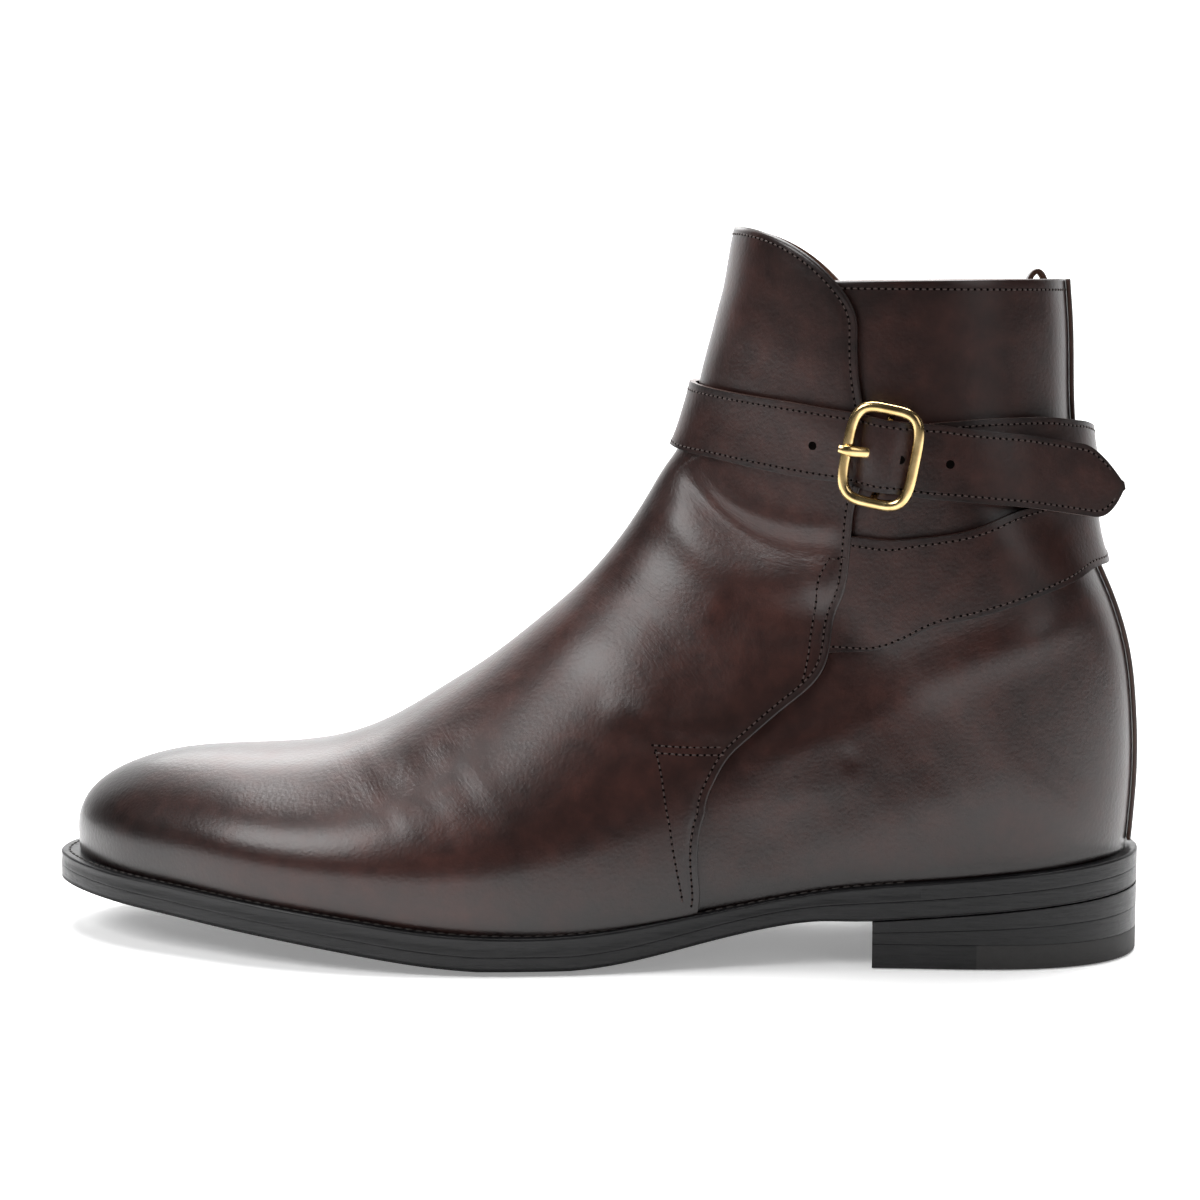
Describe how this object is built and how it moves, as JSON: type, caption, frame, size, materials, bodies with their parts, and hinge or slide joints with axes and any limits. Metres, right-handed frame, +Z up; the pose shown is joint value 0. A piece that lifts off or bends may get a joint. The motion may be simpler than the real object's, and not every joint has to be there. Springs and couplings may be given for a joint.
{
  "type": "jodhpur boot",
  "caption": "Left jodhpur ankle boot in brown leather with a wrap strap, a brass-toned buckle and a stacked heel.",
  "frame": {"origin": "on the floor under the heel, on the middle line of the heel's tip", "axes": "-X toward the toe, +X toward the heel, -Y the outer side with the buckle, +Z up"},
  "size_m": [0.307, 0.1078, 0.1992],
  "materials": {
    "upper": "burnished calf, glossy",
    "vamp": "burnished calf, glossy",
    "strap": "burnished calf, satin",
    "insole": "matt tan leather",
    "sole": "dark waxed edge, satin",
    "heel_tip": "matt rubber",
    "buckle": "polished pale gold"
  },
  "bodies": {
    "root": {"upper": "upper", "back_strip": "upper", "vamp": "vamp", "strap_long": "strap", "strap_buckle": "strap", "pull_loop": "strap", "insole": "insole", "welt": "sole", "heel_rand": "sole", "outsole": "sole", "heel_lift_1": "sole", "heel_lift_2": "sole", "heel_top_piece": "sole", "heel_tip": "heel_tip", "buckle_frame": "buckle", "buckle_prong": "buckle"}
  },
  "joints": []
}
